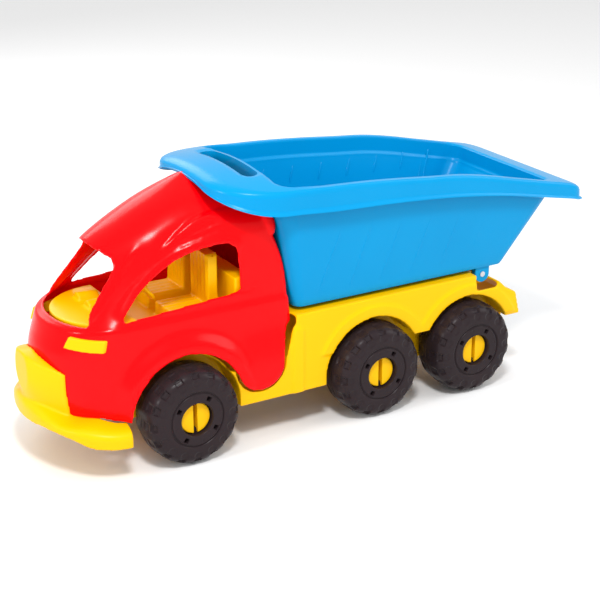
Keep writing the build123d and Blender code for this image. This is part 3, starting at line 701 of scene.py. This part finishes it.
# the sloping walls
climb = np.clip((row - FLOOR_ROW) / (WALL_ROW - FLOOR_ROW), 0, 1)
wall_top = bed_top(wall_x, wall_y) - RIM_TO_WALL
x = np.where(row > FLOOR_ROW, foot_x + (wall_x - foot_x) * climb, x)
y = np.where(row > FLOOR_ROW, foot_y + (wall_y - foot_y) * climb, y)
z = np.where(row > FLOOR_ROW, BED_FLOOR + (wall_top - BED_FLOOR) * climb, z)
# the small step in the wall under the rim
rise = np.clip((row - WALL_ROW) / (STEP_ROW - WALL_ROW), 0, 1)
ledge = step(0.05, 0.22, rise)
x = np.where(row > WALL_ROW, wall_x + (band_x - wall_x) * ledge, x)
y = np.where(row > WALL_ROW, wall_y + (band_y - wall_y) * ledge, y)
band_top = bed_top(band_x, band_y) - TUB_ROUND
z = np.where(row > WALL_ROW, wall_top + (band_top - wall_top) * rise, z)
# the rim, rounded at both edges
over = np.clip((row - STEP_ROW) / (RIM_ROW - STEP_ROW), 0, 1)
rim_x = band_x + (edge_x - band_x) * over
rim_y = band_y + (edge_y - band_y) * over
near_tub = 1 - np.clip(over / 0.12, 0, 1)
near_edge = np.clip((over - 0.70) / 0.30, 0, 1)
round_in = TUB_ROUND * (1 - np.sqrt(np.clip(1 - near_tub ** 2, 0, 1)))
round_out = RIM_ROUND * (1 - np.sqrt(np.clip(1 - near_edge ** 2, 0, 1)))
x = np.where(row > STEP_ROW, rim_x, x)
y = np.where(row > STEP_ROW, rim_y, y)
z = np.where(row > STEP_ROW, bed_top(rim_x, rim_y) - round_in - round_out, z)
# the skirt that hangs from the rim's outer edge
hang = np.clip((row - RIM_ROW) / (SKIRT_ROW - RIM_ROW), 0, 1)
out = step(0.72, 1.0, hang) * 0.85 + 0.15 * hang
x = np.where(row > RIM_ROW, edge_x + (lip_x - edge_x) * out, x)
y = np.where(row > RIM_ROW, edge_y + (lip_y - edge_y) * out, y)
drop = skirt_depth(edge_x, edge_y) - RIM_ROUND
z = np.where(row > RIM_ROW, bed_top(edge_x, edge_y) - RIM_ROUND - drop * hang, z)
# a dished border round the hand slot
slot_gap = np.hypot(x - SLOT_X, np.clip(np.abs(y) - SLOT_HALF, 0, None)) - SLOT_R
z = z - 2.0 * step(5.5, 0, slot_gap) * (row > STEP_ROW) * (row < RIM_ROW)
move_points(bed, x, y, z)
edit(bed)
bpy.ops.mesh.remove_doubles(threshold=0.00002)
bpy.ops.mesh.normals_make_consistent(inside=False)
bpy.ops.object.mode_set(mode="OBJECT")
hand_slot = arc_points(SLOT_X, SLOT_HALF, SLOT_R, 0, 180, 16)
hand_slot += arc_points(SLOT_X, -SLOT_HALF, SLOT_R, 180, 360, 16)
cut(bed, [prism("slot_cut", hand_slot, 225, 300, "Z")])
shell = bed.modifiers.new("wall", "SOLIDIFY")
shell.thickness = WALL * MM
shell.offset = -1.0
apply_modifiers(bed)


def wall_half(x, z):
    """Half-width of the tub's outer face at a place on its side wall."""
    top = float(bed_top(np.array([x]), np.array([85.0]))[0]) - RIM_TO_WALL
    return 72.5 + 14.8 * (z - BED_FLOOR) / (top - BED_FLOOR)


def rib_on_wall(foot_x, low, high, sign, face, width, height):
    """A thin raised rib, tapered at both ends, leaning back up one side wall of the tub."""
    points = []
    faces = []
    steps = 10
    half_round = 5
    for i in range(steps + 1):
        t = i / steps
        z = low + (high - low) * t
        x = foot_x - RIB_LEAN * (z - BED_FLOOR)
        y = wall_half(x, z) - (0 if face > 0 else WALL)
        grow = math.sin(math.pi * t) ** 0.35 if 0 < i < steps else 0.05
        for k in range(half_round):
            a = math.pi * k / (half_round - 1)
            reach = face * (height * math.sin(a) * grow - 0.3)
            aside = width * math.cos(a) * grow * 0.5 * MM
            points.append((x * MM + aside, sign * (y + reach) * MM, z * MM))
    for i in range(steps):
        low_ring = i * half_round
        high_ring = low_ring + half_round
        for k in range(half_round):
            j = (k + 1) % half_round
            faces.append((low_ring + k, low_ring + j, high_ring + j, high_ring + k))
    faces.append(tuple(range(half_round)))
    faces.append(tuple(steps * half_round + k for k in reversed(range(half_round))))
    mesh = bpy.data.meshes.new("rib")
    mesh.from_pydata(points, [], faces)
    rib = bpy.data.objects.new("rib", mesh)
    bpy.context.collection.objects.link(rib)
    edit(rib)
    bpy.ops.mesh.normals_make_consistent(inside=False)
    bpy.ops.object.mode_set(mode="OBJECT")
    return rib


def join(piece, others):
    """Joins other pieces into one."""
    bpy.ops.object.select_all(action="DESELECT")
    for other in others:
        other.select_set(True)
    piece.select_set(True)
    bpy.context.view_layer.objects.active = piece
    bpy.ops.object.join()
    piece.select_set(False)


# each side wall: seven long ribs outside, a short one inside by each, and a pair inside at the tail
parts = []
for i in range(7):
    foot_x = 21.0 - RIB_PITCH * i
    top_z = 226.0 - 1.5 * i
    for sign in (1, -1):
        parts.append(rib_on_wall(foot_x, 138, top_z - 6, sign, 1, 2.2, 0.8))
        parts.append(rib_on_wall(foot_x, top_z - 15, top_z + 5, sign, -1, 2.4, 1.3))
for foot_x in (-193.0, -200.0):
    for sign in (1, -1):
        parts.append(rib_on_wall(foot_x, 150, 214, sign, -1, 2.2, 1.0))
hinge_low, hinge_high = (Vector(corner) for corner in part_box("bed_hinge_rod"))
hinge = (hinge_low + hinge_high) / 2 / MM
lug_outline = arc_points(hinge.x, hinge.z, LUG_R, 180, 360, 24)
lug_outline += [(hinge.x + LUG_R, LUG_TOP), (hinge.x - LUG_R, LUG_TOP)]
runner = [(hinge.x + 20, RUNNER_Z), (RUNNER_END, RUNNER_Z),
          (RUNNER_END, RUNNER_TOP), (hinge.x + 20, RUNNER_TOP)]
for low, high, runner_low, runner_high in ((LUG_IN, LUG_OUT, RUNNER_IN, RUNNER_OUT),
                                           (-LUG_OUT, -LUG_IN, -RUNNER_OUT, -RUNNER_IN)):
    lug = prism("lug", lug_outline, low, high)
    cut(lug, [prism("rod_hole", arc_points(hinge.x, hinge.z, ROD_HOLE_R, 0, 345, 24), -90, 90)])
    parts.append(lug)
    parts.append(prism("runner", runner, runner_low, runner_high))
join(bed, parts)
smooth(bed, 40)
wear(bed, blue_plastic)
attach(bed, "bed")
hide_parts("dump_bed")


# ------------------------------------------------------------------ bumper and grille shield
# One yellow polypropylene moulding round the foot of the nose: a rolled shelf whose ends droop
# in front of the wheels, and a plain shield that stands on it in place of a radiator.
SHELF_MIDDLE_X = 236.0
SHELF_DEEP = 74.0
SHELF_HALF = 97.0
SHIELD_HALF = 44.6
SHIELD_FOOT = 60.0
SHIELD_TOP = 117.5
SHIELD_FRONT = 308.0
SHIELD_GAP = 0.4


def nose_skin(w, z):
    """Where the cab's nose stands at w off the middle and height z, and w's share of its half."""
    _, bend, tip, half = cab_plan(z)
    share = w / half
    return bend + (tip - bend) * np.sqrt(1 - share ** 2), share


def ring_point(start, end, share):
    """A point between two curves as share goes from nothing to one."""
    return start + (end - start) * share


shelf, side, up = grid_piece("bumper_and_shield", 161, 61)
swing = side * math.pi / 2
outer_x = SHELF_MIDDLE_X + SHELF_DEEP * np.cos(swing)
outer_y = SHELF_HALF * np.sin(swing)
inner_x = 232 + 40 * np.cos(swing)
inner_y = 74.0 * np.sin(swing)
foot_z = through([0, 58, 72, 84, 97], [49.5, 49, 45.5, 39.5, 37], np.abs(outer_y))
top_z = through([0, 20, 34, 42, 64, 70, 76], [74, 70, 63, 59.5, 58, 56, 53.5], np.abs(inner_y))
shoulder_z = foot_z + 3 + (top_z - foot_z) * 0.25
climb = (up + 1) / 2
under = np.clip(climb / 0.2, 0, 1)
face = np.clip((climb - 0.2) / 0.15, 0, 1)
roll = np.clip((climb - 0.35) / 0.5, 0, 1) * math.pi / 2
down = np.clip((climb - 0.85) / 0.15, 0, 1)
foot_reach = np.sqrt(1 - (1 - under) ** 2) * 0.06 + 0.94 * np.minimum(1, under * 1.3)
reach = np.where(climb < 0.2, foot_reach, np.cos(roll) ** 0.62)
reach = np.where(climb > 0.85, 0, reach)
x = ring_point(inner_x, outer_x, reach)
y = ring_point(inner_y, outer_y, reach)
z = np.where(climb < 0.2, foot_z + 3 * np.clip(under - 0.8, 0, 1) ** 2, foot_z + 0.12)
z = np.where(climb >= 0.2, foot_z + 0.12 + (shoulder_z - foot_z) * face, z)
z = np.where(climb > 0.35, shoulder_z + (top_z - shoulder_z) * np.sin(roll) ** 0.62, z)
z = np.where(climb > 0.85, ring_point(top_z, foot_z, down), z)
move_points(shelf, x, y, z)
edit(shelf)
bpy.ops.mesh.remove_doubles(threshold=0.00002)
bpy.ops.mesh.fill_holes(sides=0)
bpy.ops.mesh.normals_make_consistent(inside=False)
bpy.ops.object.mode_set(mode="OBJECT")

shield, across, up = grid_piece("grille_shield", 61, 49)
w = across * SHIELD_HALF
top = SHIELD_TOP - 14.0 * np.abs(across) ** 1.7
z = SHIELD_FOOT + (top - SHIELD_FOOT) * (up + 1) / 2
nose_x, _ = nose_skin(w, z)
stand = through([58, 72, 97, 110, 118], [0.72, 0.82, 1.0, 0.95, 0.86], z)
x = np.minimum(nose_x + 3 + 12.5 * (1 - across ** 2) * stand, SHIELD_FRONT)
move_points(shield, x, w, z)
edit(shield)
bpy.ops.mesh.extrude_region_move(TRANSFORM_OT_translate={"value": (-0.004, 0, 0)})
bpy.ops.object.mode_set(mode="OBJECT")
pushed_back = np.empty(len(shield.data.vertices), dtype=bool)
shield.data.vertices.foreach_get("select", pushed_back)
x, w, z = points_of(shield)
nose_x, _ = nose_skin(w, z)
move_points(shield, np.where(pushed_back, nose_x + SHIELD_GAP, x), w, z)
join(shelf, [shield])
edit(shelf)
bpy.ops.mesh.normals_make_consistent(inside=False)
bpy.ops.object.mode_set(mode="OBJECT")
soften(shelf, 1.3, 4)
wear(shelf, yellow_plastic)
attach(shelf, "truck")
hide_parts("front_bumper")


# ------------------------------------------------------------------ chassis, interior and lights
# Yellow polypropylene mouldings: the chassis with its skirts, the cab's floor, seats and
# dashboard, the headlight blocks and the toy steering wheel, all with rounded edges.
def rounded_copy(node, name, voxel_mm, passes, keep=1.0):
    """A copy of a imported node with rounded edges, thinned to the share of faces to keep."""
    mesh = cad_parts[node].data.copy()
    mesh.name = name
    piece = bpy.data.objects.new(name, mesh)
    bpy.context.collection.objects.link(piece)
    edit(piece)
    bpy.ops.mesh.remove_doubles(threshold=0.00001)
    bpy.ops.object.mode_set(mode="OBJECT")
    soften(piece, voxel_mm, passes)
    if keep < 1.0:
        thin = piece.modifiers.new("thin", "DECIMATE")
        thin.ratio = keep
        apply_modifiers(piece)
    smooth(piece, 60)
    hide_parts(node)
    return piece


PLEAT_PITCH = 7.5
# node, new name, voxel size in mm, smoothing passes, share of faces kept, body it rides on
pieces = [("chassis", "chassis_moulding", 1.5, 5, 0.42, "truck"),
          ("cab_interior", "seats_and_dashboard", 1.1, 3, 0.6, "truck"),
          ("steering_wheel", "toy_steering_wheel", 0.6, 2, 1.0, "steering"),
          ("steering_peg", "steering_column_peg", 0.5, 2, 1.0, "truck")]
for node, name, voxel_mm, passes, keep, body in pieces:
    piece = rounded_copy(node, name, voxel_mm, passes, keep)
    if node == "cab_interior":
        x, y, z = points_of(piece)
        # upright pleats on the seat backs and lengthwise ones on the cushions
        back_rest = step(150, 154, z) * step(111, 113, x) * step(131, 128, x)
        cushion = step(140, 142, z) * step(149, 147, z) * step(126, 130, x) * step(172, 166, x)
        pleats = np.abs(np.sin(np.abs(y) * math.pi / PLEAT_PITCH)) * step(6.5, 9.0, np.abs(y))
        move_points(piece, x + 1.6 * (pleats - 0.6) * back_rest * np.sign(x - 122), y,
                    z + 1.4 * (pleats - 0.6) * cushion)
    wear(piece, yellow_plastic)
    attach(piece, body)
for node in ("front_axle", "middle_axle", "rear_axle"):
    wear(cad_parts[node], yellow_plastic)

# the headlight blocks: thin plates bent round the nose's corners
LAMP_IN = 41.0
LAMP_WIDE = 24.5
LAMP_SLANT = 2.5
LAMP_LOW = 130.0
LAMP_HIGH = 141.0
LAMP_STAND = 3.0
for sign, node in ((1, "headlight_left"), (-1, "headlight_right")):
    lamp, across, up = grid_piece(node + "_block", 49, 25)
    share = (across + 1) / 2
    height = (up + 1) / 2
    inner = LAMP_SLANT * height
    w = LAMP_IN + inner + (LAMP_WIDE - inner) * share
    low_z = LAMP_LOW - 3.6 * share
    z = low_z + (LAMP_HIGH - 2.6 * share - low_z) * height
    nose_x, side = nose_skin(w, z)
    nose_turn = np.arctan2(side, np.sqrt(1 - side ** 2))
    x = nose_x + LAMP_STAND * np.cos(nose_turn)
    move_points(lamp, x, sign * (w + 2.2 * np.sin(nose_turn)), z)
    edit(lamp)
    bpy.ops.mesh.extrude_region_move(TRANSFORM_OT_translate={"value": (-0.007, sign * -0.003, 0)})
    bpy.ops.mesh.select_all(action="SELECT")
    bpy.ops.mesh.normals_make_consistent(inside=False)
    bpy.ops.object.mode_set(mode="OBJECT")
    soften(lamp, 0.7, 8)
    wear(lamp, yellow_plastic)
    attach(lamp, "truck")
    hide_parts(node)


# ------------------------------------------------------------------ hinge rod and screws
# Zinc-plated mild steel: the rod is cut from drawn wire and the screws are cold headed. A pale
# metal with a soft shine, and a drawn grain 0.4 mm wide and 17 mm long that lies along the rod.
zinc = bpy.data.materials.new("zinc_plated_steel")
zinc.use_nodes = True
zinc_shader = zinc.node_tree.nodes["Principled BSDF"]
zinc_place = add_node(zinc.node_tree, "ShaderNodeTexCoord").outputs["Object"]
GRAIN_ACROSS = 1000.0 / 0.4
GRAIN_ALONG = 60.0
stretch = add_node(zinc.node_tree, "ShaderNodeMapping", [("Vector", zinc_place)],
                   Scale=(GRAIN_ACROSS, GRAIN_ALONG, GRAIN_ACROSS))
drawn = add_node(zinc.node_tree, "ShaderNodeTexNoise", [("Vector", stretch.outputs["Vector"])],
                 Scale=1.0, Detail=2.0)
sheen = add_node(zinc.node_tree, "ShaderNodeMapRange", [("Value", drawn.outputs["Fac"])])
sheen.inputs["To Min"].default_value = 0.28
sheen.inputs["To Max"].default_value = 0.45
zinc.node_tree.links.new(sheen.outputs["Result"], zinc_shader.inputs["Roughness"])
zinc_shader.inputs["Base Color"].default_value = linear("C9CCD0")
zinc_shader.inputs["Metallic"].default_value = 1.0
for node in ("bed_hinge_rod", "cab_screws"):
    wear(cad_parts[node], zinc)
